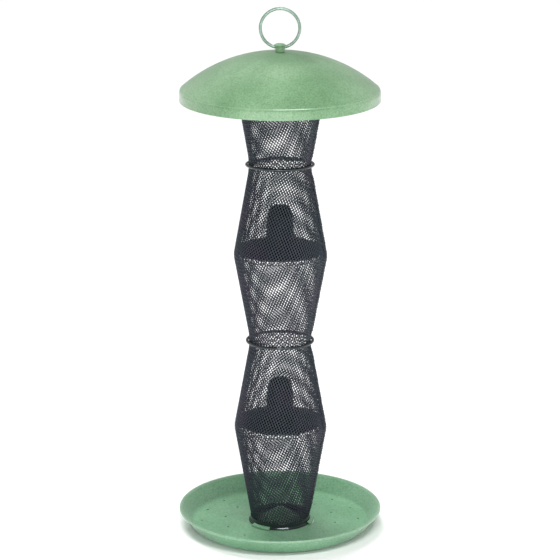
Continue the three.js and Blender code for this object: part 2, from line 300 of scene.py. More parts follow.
def ramp(nodes, link, value, stops):
    """A colour ramp with (position, colour) stops."""
    band = nodes.new("ShaderNodeValToRGB")
    while len(band.color_ramp.elements) < len(stops):
        band.color_ramp.elements.new(0.5)
    for element, (position, colour) in zip(band.color_ramp.elements, stops):
        element.position = position
        element.color = (*colour, 1)
    link(value, band.inputs["Fac"])
    return band.outputs["Color"]


def mixed(nodes, link, share, a, b, blend="MIX"):
    """Mixes two colours; share is a number or an output."""
    mix = nodes.new("ShaderNodeMix")
    mix.data_type = "RGBA"
    mix.blend_type = blend
    if isinstance(share, float):
        mix.inputs["Factor"].default_value = share
    else:
        link(share, mix.inputs["Factor"])
    link(a, mix.inputs["A"])
    link(b, mix.inputs["B"])
    return mix.outputs["Result"]


def spread(nodes, link, value, low_value, high_value):
    """The value, 0 to 1, moved to another range."""
    change = nodes.new("ShaderNodeMapRange")
    change.inputs["To Min"].default_value = low_value
    change.inputs["To Max"].default_value = high_value
    link(value, change.inputs["Value"])
    return change.outputs["Result"]


def bump(nodes, link, shader, value, distance, strength, after=None):
    """A bump from a value; after is an earlier bump that this one adds to."""
    made = nodes.new("ShaderNodeBump")
    made.inputs["Distance"].default_value = distance
    made.inputs["Strength"].default_value = strength
    link(value, made.inputs["Height"])
    if after is not None:
        link(after, made.inputs["Normal"])
    link(made.outputs["Normal"], shader.inputs["Normal"])
    return made.outputs["Normal"]


def near_height(nodes, link, height, reach):
    """1 where the Object height is within a third of reach of height, falling to 0 at reach."""
    place = nodes.new("ShaderNodeTexCoord")
    parts = nodes.new("ShaderNodeSeparateXYZ")
    link(place.outputs["Object"], parts.inputs["Vector"])
    away, gap = nodes.new("ShaderNodeMath"), nodes.new("ShaderNodeMath")
    away.operation, gap.operation = "SUBTRACT", "ABSOLUTE"
    away.inputs[1].default_value = height
    link(parts.outputs["Z"], away.inputs[0])
    link(away.outputs[0], gap.inputs[0])
    fall = nodes.new("ShaderNodeMapRange")
    fall.interpolation_type = "SMOOTHSTEP"
    fall.inputs["From Min"].default_value, fall.inputs["From Max"].default_value = reach / 3, reach
    fall.inputs["To Min"].default_value, fall.inputs["To Max"].default_value = 1, 0
    link(gap.outputs[0], fall.inputs["Value"])
    return fall.outputs["Result"]


def sage_powder_coat(name, deep, middle, pale, highlight_height, highlight_reach):
    """Satin sage powder coat: soft clouds of tone, a fine two-tone speckle and an orange-peel skin.
    The three colours are the clouds' own. Along the edge at a height the coat is painted paler, a painted
    highlight."""
    made, nodes, link, shader = material(name, middle, 0.45)
    clouds = ramp(nodes, link, noise(nodes, link, 15, 4, 0.55), [(0.3, deep), (0.5, middle), (0.72, pale)])
    speckle = ramp(
        nodes, link, noise(nodes, link, 640, 2, 0.6),
        [(0.34, (0.74, 0.80, 0.72)), (0.5, (1.0, 1.0, 1.0)), (0.68, (1.2, 1.15, 1.2))],
    )
    coat = mixed(nodes, link, 1.0, clouds, speckle, "MULTIPLY")
    # Painted highlight: a paler tone mixed in along the edge at a height, standing in for the shine there.
    painted_highlight = ramp(
        nodes, link, noise(nodes, link, 90, 3),
        [(0.3, (0.30, 0.42, 0.30)), (0.7, (0.44, 0.56, 0.43))],
    )
    share = nodes.new("ShaderNodeMath")
    share.operation = "MULTIPLY"
    link(near_height(nodes, link, highlight_height, highlight_reach), share.inputs[0])
    share.inputs[1].default_value = 0.22
    link(mixed(nodes, link, share.outputs[0], coat, painted_highlight), shader.inputs["Base Color"])
    link(spread(nodes, link, noise(nodes, link, 240, 2), 0.38, 0.54), shader.inputs["Roughness"])
    shader.inputs["Coat Weight"].default_value = 0.6
    shader.inputs["Coat Roughness"].default_value = 0.24
    shader.inputs["Sheen Weight"].default_value = 0.22
    shader.inputs["Sheen Roughness"].default_value = 0.4
    skin = bump(nodes, link, shader, noise(nodes, link, 420, 2), 0.0004, 0.10)
    bump(nodes, link, shader, noise(nodes, link, 1500, 1), 0.0001, 0.15, after=skin)
    return made


def ring_gloss_sage_painted_highlight():
    """Glossy sage coat of the hanging ring. Its base is painted paler than the roof's sage, a painted
    highlight, and its gloss is real.
    """
    made, nodes, link, shader = material("ring_gloss_sage_painted_highlight", (0.36, 0.52, 0.40), 0.28, 0.35)
    # Painted highlight: these tones are paler than the roof's sage to stand in for the shine along the
    # wire.
    tone = ramp(
        nodes, link, noise(nodes, link, 160, 3),
        [(0.3, (0.17, 0.26, 0.20)), (0.6, (0.22, 0.32, 0.26)), (0.8, (0.30, 0.41, 0.34))],
    )
    link(tone, shader.inputs["Base Color"])
    link(spread(nodes, link, noise(nodes, link, 500, 2), 0.2, 0.34), shader.inputs["Roughness"])
    shader.inputs["Coat Weight"].default_value = 0.5
    shader.inputs["Coat Roughness"].default_value = 0.08
    bump(nodes, link, shader, noise(nodes, link, 500, 2), 0.0001, 0.15)
    return made


def wire_coat():
    """Satin black dip on the woven wire: cool black with a faint purple and teal drift of tone."""
    made, nodes, link, shader = material("wire_coat", (0.03, 0.033, 0.042), 0.42)
    tone = ramp(
        nodes, link, noise(nodes, link, 26, 3),
        [(0.32, (0.015, 0.025, 0.033)), (0.5, (0.020, 0.024, 0.035)), (0.68, (0.030, 0.025, 0.043))],
    )
    link(tone, shader.inputs["Base Color"])
    link(spread(nodes, link, noise(nodes, link, 500, 2), 0.34, 0.52), shader.inputs["Roughness"])
    shader.inputs["Specular IOR Level"].default_value = 0.5
    shader.inputs["Specular Tint"].default_value = (0.86, 0.97, 1.0, 1)
    bump(nodes, link, shader, noise(nodes, link, 2600, 1), 0.00006, 0.3)
    return made


def gloss_black_coat():
    """Gloss black coat of the hoops and rings."""
    made, nodes, link, shader = material("gloss_black_coat", (0.009, 0.011, 0.014), 0.16)
    tone = ramp(
        nodes, link, noise(nodes, link, 45, 3),
        [(0.3, (0.007, 0.009, 0.012)), (0.7, (0.014, 0.017, 0.021))],
    )
    link(tone, shader.inputs["Base Color"])
    link(spread(nodes, link, noise(nodes, link, 300, 2), 0.1, 0.22), shader.inputs["Roughness"])
    shader.inputs["Specular IOR Level"].default_value = 0.6
    shader.inputs["Specular Tint"].default_value = (0.88, 0.98, 1.0, 1)
    bump(nodes, link, shader, noise(nodes, link, 700, 2), 0.0002, 0.12)
    return made


def flat_black_coat():
    """Flat black coat of the seed cones, with a few faint rubs."""
    made, nodes, link, shader = material("flat_black_coat", (0.006, 0.007, 0.01), 0.5)
    tone = ramp(
        nodes, link, noise(nodes, link, 90, 4, 0.6),
        [(0.35, (0.003, 0.005, 0.006)), (0.62, (0.006, 0.008, 0.009)), (0.8, (0.014, 0.017, 0.018))],
    )
    link(tone, shader.inputs["Base Color"])
    link(spread(nodes, link, noise(nodes, link, 260, 2), 0.42, 0.6), shader.inputs["Roughness"])
    shader.inputs["Specular IOR Level"].default_value = 0.08
    bump(nodes, link, shader, noise(nodes, link, 600, 2), 0.0002, 0.15)
    return made


def zinc_plate():
    """Bright zinc: fine patches of passivated tone on metal."""
    made, nodes, link, shader = material("zinc_plate_finish", (0.6, 0.61, 0.63), 0.34, 1.0)
    tone = ramp(
        nodes, link, noise(nodes, link, 220, 4),
        [(0.3, (0.50, 0.52, 0.55)), (0.55, (0.64, 0.65, 0.66)), (0.8, (0.70, 0.69, 0.64))],
    )
    link(tone, shader.inputs["Base Color"])
    link(spread(nodes, link, noise(nodes, link, 900, 2), 0.26, 0.46), shader.inputs["Roughness"])
    bump(nodes, link, shader, noise(nodes, link, 1400, 2), 0.0001, 0.2)
    return made


# The last two arguments place each coat's painted highlight: the roof's along its crease, the tray's along
# the top of its rolled rim.
SAGE = sage_powder_coat(
    "sage_roof_coat", (0.09, 0.21, 0.09), (0.15, 0.292, 0.149), (0.225, 0.375, 0.216),
    low("roof")[2] + ROOF_SKIRT, 0.6 * MM,
)
TRAY_SAGE = sage_powder_coat(
    "sage_tray_coat", (0.115, 0.275, 0.15), (0.15, 0.335, 0.19), (0.195, 0.39, 0.235),
    high("tray")[2] - 0.6 * MM, 1.6 * MM,
)
RING_GLOSS_SAGE = ring_gloss_sage_painted_highlight()
WIRE = wire_coat()
BLACK = gloss_black_coat()
FLAT_BLACK = flat_black_coat()
ZINC = zinc_plate()


def settle(piece, coat, body, node):
    """Gives a finished piece its material, its body and the node it stands for."""
    piece.data.materials.clear()
    piece.data.materials.append(coat)
    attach(piece, body)
    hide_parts(node)


# ---------- Woven wire cones ----------

def soft_step(x, reach):
    """max(x, 0) with its corner rounded over reach on each side."""
    if reach == 0:
        return np.maximum(x, 0)
    return np.where(x > reach, x, np.where(x < -reach, 0, (x + reach) ** 2 / (4 * reach)))


def cone_line(narrow, wide, height, neck):
    """The cone's side as arc length, radius and distance from its narrow end: a straight neck, a
    straight flare, and a rounded shoulder that is upright where it meets the next cone."""
    shoulder = 4 * MM
    y = np.linspace(0, height, 400)
    slope = (wide - narrow) / (height - neck - shoulder / 2)
    r = narrow + slope * soft_step(y - neck, neck * 0.6) - 2 * slope * soft_step(y - height, shoulder)
    s = np.concatenate([[0], np.cumsum(np.hypot(np.diff(r), np.diff(y)))])
    return s, r, y


def woven_cone(name, narrow, wide, narrow_z, wide_z, neck, fade_wide):
    """Cloth of two wire families, cut flat as a sector of a ring and rolled into a cone.

    In the flat, the wires of each family are straight, CLOTH_PITCH apart, at plus and minus
    CLOTH_BIAS to the sector's middle line, and they cross at the points (i, j) of a rhombic
    lattice. A wire goes over at one crossing and under at the next. Rolling takes a point at
    polar (rho, psi) to arc length rho - rho0 up the cone's side and azimuth psi / sin(half angle).
    The blank's far edge laps outside its near edge. Each wire is a six-sided tube with a ring of
    points at each crossing, and it ends in a cap where the blank is cut. The lap lies close at the
    narrow end, and at the wide end too if fade_wide."""
    height = abs(wide_z - narrow_z)
    up = np.sign(wide_z - narrow_z)
    line_s, line_r, line_y = cone_line(narrow, wide, height, neck)
    length = line_s[-1]
    taper = (wide - narrow) / length
    rho0 = narrow / taper
    edge = math.pi * taper
    far_edge = edge + LAP / (rho0 + length / 2)
    lap_start = edge - LAP_RAMP / (rho0 + length / 2)
    rise = 2 * CLOTH_WIRE + 0.05 * MM
    least_rise = 0.1
    least_end = 0.02

    def rolled(flat):
        """Flat points (n, 2) to points on the middle of the cloth."""
        rho, psi = np.hypot(*flat.T), np.arctan2(flat[:, 1], flat[:, 0])
        s = np.clip(rho - rho0, 0, length)
        r, y = np.interp(s, line_s, line_r), np.interp(s, line_s, line_y)
        t = np.clip((psi - lap_start) / (edge - lap_start), 0, 1)
        lap = rise * t * t * (3 - 2 * t) * np.clip(s / (2 * NECK), least_rise, 1)
        if fade_wide:
            lap = lap * np.clip((length - s) / (2 * NECK), least_rise, 1)
        a = BLANK_MIDDLE + psi / taper
        z = narrow_z + y * up
        return np.stack([(r + lap) * np.cos(a), (r + lap) * np.sin(a), z], axis=1)

    reach = int((rho0 + length) / CLOTH_PITCH) + 2
    i, j = (g.ravel() for g in np.mgrid[-reach:reach + 1, -reach:reach + 1])
    lattice = [(j - i) / math.sin(CLOTH_BIAS), (i + j) / math.cos(CLOTH_BIAS)]
    flat = CLOTH_PITCH / 2 * np.stack(lattice, axis=1)
    rho, psi = np.hypot(*flat.T), np.arctan2(flat[:, 1], flat[:, 0])
    room = np.stack([rho - rho0, rho0 + length - rho, (psi + edge) * rho, (far_edge - psi) * rho])
    inside = (room > 0).all(0)
    side = 2 * reach + 1
    parity = np.where((i + j) % 2 == 0, 1.0, -1.0)

    points, faces, count = [], [], 0
    # The first family runs along j at fixed i, and the second along i at fixed j.
    for step, sign in [(1, 1.0), (side, -1.0)]:
        run = flat[reach * side + reach + step] - flat[reach * side + reach]
        run /= np.linalg.norm(run)
        here = np.flatnonzero(inside)
        number = np.full(len(flat), -1)
        number[here] = np.arange(len(here))
        ring_flat, ring_lift = flat[here], sign * parity[here] * CLOTH_WIRE / 2
        ends = []
        for direction in (step, -step):
            out = here[~inside[here + direction]]
            g_in, g_out = room[:, out], room[:, out + direction]
            share = np.where(g_out < 0, g_in / np.maximum(g_in - g_out, 1e-12), 1.0).min(0)
            share = np.clip(share, least_end, 1)[:, None]
            cut = flat[out] + share * (flat[out + direction] - flat[out])
            lift = sign * parity[out] * CLOTH_WIRE / 2 * (1 - 2 * share[:, 0])
            ends.append((out, cut, lift))
        all_flat = np.concatenate([ring_flat] + [cut for _, cut, _ in ends])
        all_lift = np.concatenate([ring_lift] + [lift for _, _, lift in ends])
        eps = 0.05 * MM
        middle = rolled(all_flat)
        along = rolled(all_flat + run * eps) - rolled(all_flat - run * eps)
        across_flat = np.array([-run[1], run[0]]) * eps
        across = rolled(all_flat + across_flat) - rolled(all_flat - across_flat)
        along /= np.linalg.norm(along, axis=1, keepdims=True)
        normal = np.cross(along, across)
        normal /= np.linalg.norm(normal, axis=1, keepdims=True)
        outward = middle * [1, 1, 0]
        normal *= np.sign((normal * outward).sum(1))[:, None]
        beside = np.cross(along, normal)
        around = np.arange(6) * TAU / 6
        ring = (
            (middle + normal * all_lift[:, None])[:, None, :]
            + COATED_WIRE / 2 * (np.cos(around)[None, :, None] * normal[:, None, :]
                                 + np.sin(around)[None, :, None] * beside[:, None, :])
        )
        points.append(ring.reshape(-1, 3))
        k = np.arange(6)

        def tube(a, b):
            a, b = a[:, None] * 6 + k, b[:, None] * 6 + k
            return np.stack([a, np.roll(a, -1, 1), np.roll(b, -1, 1), b], axis=-1).reshape(-1, 4)

        whole = here[inside[here + step]]
        faces.append(count + tube(number[whole], number[whole + step]))
        first = len(here)
        for (out, cut, _), forward in zip(ends, (True, False)):
            end = first + np.arange(len(out))
            pair = (number[out], end) if forward else (end, number[out])
            faces.append(count + tube(*pair))
            cap = end[:, None] * 6 + (k[::-1] if not forward else k)
            halves = np.concatenate([cap[:, [0, 1, 2, 3]], cap[:, [0, 3, 4, 5]]])
            faces.append(count + halves)
            first += len(out)
        count += 6 * len(all_flat)
    piece = plain_piece(name, np.concatenate(points), faces)
    smooth(piece, 70)
    inset = up * HEM_WIRE
    hems = [wire_loop(f"{name}_narrow_hem", narrow, HEM_WIRE, narrow_z + inset, 10)]
    if wide_z < narrow_z or fade_wide:
        hems.append(wire_loop(f"{name}_wide_hem", wide, HEM_WIRE, wide_z - inset, 10))
    return joined(name, [piece, *hems])


cone_bodies = ["foot", "lower_wide", "lower_waist", "upper_wide", "upper_waist"]
cone_radii = [foot_radius, wide_radius, waist_radius, wide_radius, waist_radius, wide_radius]

for index, (node, body) in enumerate(zip(cone_names, cone_bodies)):
    bottom, top = planes[index], planes[index + 1]
    widens_up = cone_radii[index + 1] > cone_radii[index]
    narrow_z, wide_z = (bottom, top) if widens_up else (top, bottom)
    cloth = woven_cone(
        f"woven_cone_{index + 1}",
        min(cone_radii[index:index + 2]), wide_radius, narrow_z, wide_z,
        neck=0 if index == 0 else NECK, fade_wide=index == 4,
    )
    settle(cloth, WIRE, body, node)
    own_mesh(cloth)


# ---------- Rings, hoops and seed cones ----------

for place in ("lower", "upper"):
    node = f"{place}_waist_ring"
    middle = (low(node)[2] + high(node)[2]) / 2
    radius = outer_radius(node) - WAIST_WIRE
    rise = (high(node)[2] - low(node)[2]) / 2 - WAIST_WIRE
    hoop = wire_loop(f"{place}_waist_wire", radius, WAIST_WIRE, middle, tilt=rise / radius)
    settle(hoop, BLACK, f"{place}_waist", node)
    node = f"{place}_wide_ring"
    middle = (low(node)[2] + high(node)[2]) / 2
    hoop = wire_loop(f"{place}_wide_wire", outer_radius(node) - WIDE_WIRE, WIDE_WIRE, middle)
    settle(hoop, BLACK, f"{place}_wide", node)


def seed_hat(name, node, first_tab):
    """A seed cone: brim and skirt, then a tapered chimney with a round closed top, all one sheet
    0.6 mm thick turned about the axis, with three tabs bent down at the brim."""
    sheet = 0.6 * MM
    tab_length, tab_width = 3.6 * MM, 4 * MM
    brim = brim_radius(node)
    bottom, top = low(node)[2] + tab_length - 0.5 * sheet, high(node)[2]
    shoulder_r, chimney_r = 11.3 * MM, 12.7 * MM
    skirt_top = bottom + 9.5 * MM
    dome = 8 * MM
    path = rounded(
        [
            (brim, bottom, 0), (brim, bottom + 1.2 * sheet, 0.5 * MM), (chimney_r, skirt_top, 3 * MM),
            (shoulder_r, top - dome, 6 * MM), (8.4 * MM, top, 3.4 * MM), (0, top, 0),
        ]
    )
    hat = turned(name, sheet_outline(path, sheet), 128)
    tabs = []
    for k in range(3):
        a = math.radians(first_tab) + k * TAU / 3
        half = tab_width / 2 / brim
        reach = (bottom + sheet, bottom - tab_length)
        tabs.append(curved_tab(f"{name}_tab_{k}", brim, sheet, a - half, a + half, *reach))
    return joined(name, [hat, *tabs])


def brim_radius(node):
    """The brim's radius: the farthest point of the node from the axis."""
    points = np.array([v.co[:2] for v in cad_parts[node].data.vertices])
    return np.hypot(*points.T).max() - 0.2 * MM


def curved_tab(name, radius, sheet, start, end, top, bottom):
    """A small tab: a rounded strip that hangs down, curved with the brim."""
    columns, rows = 9, 7
    a = np.linspace(start, end, columns)[None, :, None]
    t = np.linspace(0, 1, rows)[:, None, None]
    inset = np.array([0, sheet])[None, None, :]
    u = (a - (start + end) / 2) / ((end - start) / 2)
    drop = bottom + (top - bottom) * 0.25 * np.abs(u) ** 4
    z = top + t * (drop - top) + 0 * inset
    r = radius - inset + 0 * t
    x, y = r * np.cos(a), r * np.sin(a)
    shape = np.broadcast_shapes(x.shape, z.shape)
    grid = np.stack([np.broadcast_to(c, shape) for c in (x, y, z)], axis=-1)
    outside, inside = grid[:, :, 0], grid[:, :, 1]
    loop = np.concatenate([outside, inside[:, ::-1]], axis=1)
    width = 2 * columns
    faces = [grid_faces(rows, width, False, True)]
    for row in (0, rows - 1):
        k = row * width + np.arange(columns)
        mirror = row * width + (width - 1 - np.arange(columns))
        faces.append(np.stack([k[:-1], k[1:], mirror[1:], mirror[:-1]], axis=1))
    return mesh_piece(name, loop.reshape(-1, 3), faces)


for place, first_tab in (("lower", -65), ("upper", 90)):
    hat = seed_hat(f"{place}_seed_hat", f"{place}_seed_cone", first_tab)
    settle(hat, FLAT_BLACK, f"{place}_wide", f"{place}_seed_cone")


def foot_band():
    """The foot hoop: an upright band whose foot slopes out into a small flange."""
    bottom, top = low("foot_hoop")[2], high("foot_hoop")[2]
    flange = outer_radius("foot_hoop")
    inner = foot_hoop_radius - FOOT_SHEET
    flat = bottom + FOOT_SHEET
    outline = rounded(
        [
            (inner, bottom, 0.4 * MM), (flange, bottom, 0.25 * MM), (flange, flat, 0.25 * MM),
            (foot_hoop_radius + FOOT_SLOPE, flat, 0.2 * MM),
            (foot_hoop_radius, flat + FOOT_SLOPE, 0.3 * MM),
            (foot_hoop_radius, top, 0.25 * MM), (inner, top, 0.25 * MM),
        ]
    )
    return turned("foot_band", outline)


settle(foot_band(), BLACK, "foot", "foot_hoop")


def top_band():
    """The top hoop: a band with a flange turned in at its top."""
    sheet, flange = TOP_SHEET, TOP_FLANGE
    bottom, top = low("top_hoop")[2], high("top_hoop")[2]
    outer = outer_radius("top_hoop")
    outline = rounded(
        [
            (outer - sheet, bottom, 0.4 * MM), (outer, bottom, 0.4 * MM), (outer, top, 1.3 * MM),
            (outer - flange, top, 0.4 * MM), (outer - flange, top - sheet, 0.4 * MM),
            (outer - sheet, top - sheet, 0.5 * MM),
        ]
    )
    return turned("top_band", outline)


settle(top_band(), BLACK, "top", "top_hoop")


# ---------- Tray ----------

def dish_tray():
    """The tray: the upper side of one pressed sheet, then thickened downwards.

    Rings of 192 points follow the sheet's path from its centre cone over the floor, the bend, the
    wall and the rolled rim. Each drain hole sits in a cell between two rings, filled by loops that
    change from the hole's circle to the cell's border. Three slots leave room for three tongues,
    whose path turns up and back over the foot hoop's flange."""
    sheet = TRAY_SHEET
    steps = 192
    step = TAU / steps
    top = high("tray")[2]
    rim = outer_radius("tray")
    bead = 1.25 * MM
    floor_radius = 80.8 * MM
    root = outer_radius("foot_hoop") + TOUCH
    slot_edge = root + 2.4 * MM
    tongue_middle = math.radians(-8)
    slot_half, tongue_half = 11, 10
    peak = sheet + 13.2 * MM
    cone_foot = 21.5 * MM

    cone = rounded(
        [(0, peak, 0), (0.1 * MM, peak, 0), (3 * MM, peak - 0.8 * MM, 2 * MM),
         (cone_foot, sheet, 9 * MM), (root, sheet, 0)]
    )[1:]
    wall_foot = (floor_radius, sheet, 3.5 * MM)
    bead_r, bead_z = rim - bead, top - bead
    lean = math.atan2(bead_z - sheet, bead_r - bead - floor_radius)
    curl = np.linspace(math.pi / 2 + lean, -0.55 * math.pi, 26)
    rolled = np.stack([bead_r + bead * np.cos(curl), bead_z + bead * np.sin(curl)], axis=1)
    wall = rounded([(floor_radius - 4 * MM, sheet, 0), wall_foot, (*rolled[0], 0)])[:-1]
    wall_steps = np.linspace(wall[-1], rolled[0], 8)[1:-1]
    outside = np.concatenate([wall, wall_steps, rolled])

    points, faces = [], []
    total = 0

    def ring_points(r, z, turn):
        a = turn + step * np.arange(steps)
        return np.stack([r * np.cos(a), r * np.sin(a), np.full(steps, z)], axis=1)

    def add(block, quads):
        nonlocal total
        points.append(block)
        faces.append(total + quads)
        total += len(block)

    def band(path, turns, keep=None):
        """Rings along a path; turns gives each ring's turn, keep the columns whose quads stay."""
        block = np.concatenate([ring_points(r, z, turn) for (r, z), turn in zip(path, turns)])
        quads = grid_faces(len(path), steps, False, True)
        if keep is not None:
            quads = quads.reshape(len(path) - 1, steps, 4)[:, keep].reshape(-1, 4)
        add(block, quads)

    def hole_band(radius, half, holes, turn, hole):
        """A ring of cells, each with a round hole in its middle."""
        columns, sides = steps // holes, 5
        u = np.linspace(-0.5, 0.5, columns + 1)
        v = np.linspace(-1, 1, sides + 1)
        lower = np.stack([u, -np.ones_like(u)], axis=1)[:-1]
        right = np.stack([0.5 * np.ones_like(v), v], axis=1)[:-1]
        upper = np.stack([u[::-1], np.ones_like(u)], axis=1)[:-1]
        left = np.stack([-0.5 * np.ones_like(v), v[::-1]], axis=1)[:-1]
        border = np.concatenate([lower, right, upper, left])
        share = np.array([0, 0.12, 0.35, 0.65, 1.0])[:, None, None]
        for k in range(holes):
            middle = turn + k * TAU / holes
            a = middle + border[:, 0] * TAU / holes
            r = radius + border[:, 1] * half
            edge = np.stack([r * np.cos(a), r * np.sin(a)], axis=1)
            centre = radius * np.array([math.cos(middle), math.sin(middle)])
            away = edge - centre
            circle = centre + hole * away / np.linalg.norm(away, axis=1, keepdims=True)
            loops = circle + share * (edge - circle)
            block = np.concatenate([loops, np.full(loops.shape[:2] + (1,), sheet)], axis=2)
            add(block.reshape(-1, 3), grid_faces(len(share), len(border), False, True)[:, ::-1])

    inner_turn = tongue_middle % step
    column_middle = inner_turn + step * (np.arange(steps) + 0.5)

    def within(half):
        """Columns nearer than half columns to a tongue's middle."""
        away = np.abs((column_middle - tongue_middle + math.pi / 3) % (TAU / 3) - math.pi / 3)
        return away < half * step

    drain_a, turn_a, holes_a = 51 * MM, math.radians(-9), 12
    drain_b, turn_b, holes_b = 72 * MM, math.radians(2), 16
    half, hole = 3.2 * MM, 1.15 * MM
    start_a = (turn_a - TAU / (2 * holes_a)) % step
    start_b = (turn_b - TAU / (2 * holes_b)) % step
    band(cone, [inner_turn] * len(cone))
    band([(root, sheet), (slot_edge, sheet)], [inner_turn] * 2, keep=~within(slot_half))
    band([(slot_edge, sheet), (drain_a - half, sheet)], [inner_turn, start_a])
    hole_band(drain_a, half, holes_a, turn_a, hole)
    band([(drain_a + half, sheet), (drain_b - half, sheet)], [start_a, start_b])
    hole_band(drain_b, half, holes_b, turn_b, hole)
    band([(drain_b + half, sheet), *outside], [start_b] * (len(outside) + 1))
    bend = 0.6 * MM
    turn_up = np.linspace(-math.pi / 2, math.pi / 2, 9)
    hairpin_r = root + 0.25 * MM + bend * np.cos(turn_up)
    hairpin = np.stack([hairpin_r, sheet + bend + bend * np.sin(turn_up)], axis=1)
    tip = foot_hoop_radius + TOUCH
    flap = [
        (root - 0.2 * MM, sheet + 2.1 * bend),
        (tip + 0.5 * MM, sheet + 2.7 * bend),
        (tip, sheet + 3.1 * bend),
    ]
    tongue = np.concatenate([[(root, sheet)], hairpin, flap])
    band(tongue, [inner_turn] * len(tongue), keep=within(tongue_half))
    return mesh_piece("dish_tray", np.concatenate(points), faces, 40)


def thickened(piece, thickness, smooth_angle):
    """The piece as a sheet that grows downwards from its upper face."""
    upwards = sum(face.normal.z * face.area for face in piece.data.polygons) > 0
    solid = piece.modifiers.new("sheet", "SOLIDIFY")
    solid.thickness = thickness
    solid.offset = -1 if upwards else 1
    solid.use_even_offset = True
    return applied(piece, smooth_angle)


settle(thickened(dish_tray(), TRAY_SHEET, 40), TRAY_SAGE, "foot", "tray")


# ---------- Roof ----------

def dome_roof():
    """The roof: a spherical dome, a narrow sloping crease and an upright skirt, one sheet with a
    hole for the stud. The dome's height is the sphere's, lift + sqrt(R * R - r * r)."""
    rim = outer_radius("roof")
    crease = rim - 0.8 * MM
    bottom = low("roof")[2] + ROOF_HEM
    crease_z = bottom + ROOF_SKIRT
    sphere = (crease ** 2 + ROOF_DOME ** 2) / (2 * ROOF_DOME)
    lift = crease_z + ROOF_DOME - sphere
    edge = rim - 1.15 * MM
    a = np.linspace(math.asin(STUD_HOLE / sphere), math.asin(edge / sphere), 60)
    top = np.stack([sphere * np.sin(a), lift + sphere * np.cos(a)], axis=1)
    slope, last_slope = math.radians(54), math.radians(70)
    facet, fillet = 0.9 * MM, 0.5 * MM
    fall = top[-1] + facet * np.array([math.cos(slope), -math.sin(slope)])
    fold_z = fall[1] - (rim - fall[0]) * math.tan(last_slope)
    corner = rounded(
        [(*top[-6], 0), (*top[-1], fillet), (*fall, fillet), (rim, fold_z, fillet), (rim, bottom, 0)], 5
    )
    skirt_line = np.linspace(corner[-2], (rim, bottom + 0.3 * MM), 6)[1:]
    path = np.concatenate([top[:-6], corner[:-1], skirt_line, [(rim, bottom)]])
    return turned("dome_roof", sheet_outline(path[::-1], ROOF_SHEET), 256, 30)


settle(dome_roof(), SAGE, "roof", "roof")


def post():
    """The stud: a threaded shank below the dome, a short post above it with a wider round head, and
    a cross hole for the ring. On the shank the radius is the thread's outer one less a triangle wave
    of height / pitch - angle / 360 degrees."""
    top, bottom = high("hanger_stud")[2], low("hanger_stud")[2]
    hole_z = low("hanging_ring")[2] + RING_WIRE
    seat = high("roof")[2] + TOUCH
    shank, barrel, head = 3 * MM, 4.4 * MM, 5.2 * MM
    pitch, depth, sides = 1.0 * MM, 0.45 * MM, 96
    upper = rounded(
        [
            (shank, seat - MM, 0), (shank, seat, 0),
            (barrel, seat, 0.3 * MM), (barrel, top - 2.6 * MM, 0.8 * MM),
            (head, top - 1.8 * MM, 0.5 * MM), (head, top - 1.2 * MM, 0.5 * MM),
            (3.64 * MM, top - 0.27 * MM, 1.2 * MM), (0, top, 0),
        ]
    )
    z = np.linspace(bottom, upper[0, 1], 110)[:-1]
    a = np.linspace(0, TAU, sides, endpoint=False)[:, None]
    wave = np.abs(((z[None, :] / pitch - a / TAU) % 1) * 2 - 1)
    fade = np.clip((upper[0, 1] - 3 * MM - z) / pitch, 0, 1) * np.clip((z - bottom) / pitch, 0.2, 1)
    tip = np.minimum(1, 0.85 + (z - bottom) / (0.8 * MM) * 0.15)
    r = shank * tip - depth * wave * fade
    r = np.concatenate([0 * a, r, upper[:, 0] + 0 * a], axis=1)
    z = np.concatenate([[bottom], z, upper[:, 1]]) + 0 * a
    points = np.stack([r * np.cos(a), r * np.sin(a), z], axis=-1)
    body = mesh_piece("ring_post", points.reshape(-1, 3), [grid_faces(sides, r.shape[1], True)], 35)
    cross_hole, reach = 2.25 * MM, 9 * MM
    cutter = rod("cross_hole", cross_hole, (-reach, 0, hole_z), (reach, 0, hole_z))
    return drilled(body, cutter)


settle(post(), SAGE, "roof", "hanger_stud")


def upright_ring():
    """The hanging ring: a circle of round wire carried round a circle that stands in the XZ plane."""
    sides, around = 160, 24
    radius = outer_radius("hanging_ring") - RING_WIRE
    middle = (low("hanging_ring")[2] + high("hanging_ring")[2]) / 2
    a = np.linspace(0, TAU, sides, endpoint=False)[:, None]
    b = np.linspace(0, TAU, around, endpoint=False)[None, :]
    r = radius + RING_WIRE * np.cos(b)
    points = np.stack([r * np.cos(a), RING_WIRE * np.sin(b) + 0 * a, middle + r * np.sin(a)], axis=-1)
    return mesh_piece("wire_ring", points.reshape(-1, 3), [grid_faces(sides, around, True, True)])


settle(upright_ring(), RING_GLOSS_SAGE, "ring", "hanging_ring")


# ---------- Fittings under the roof ----------

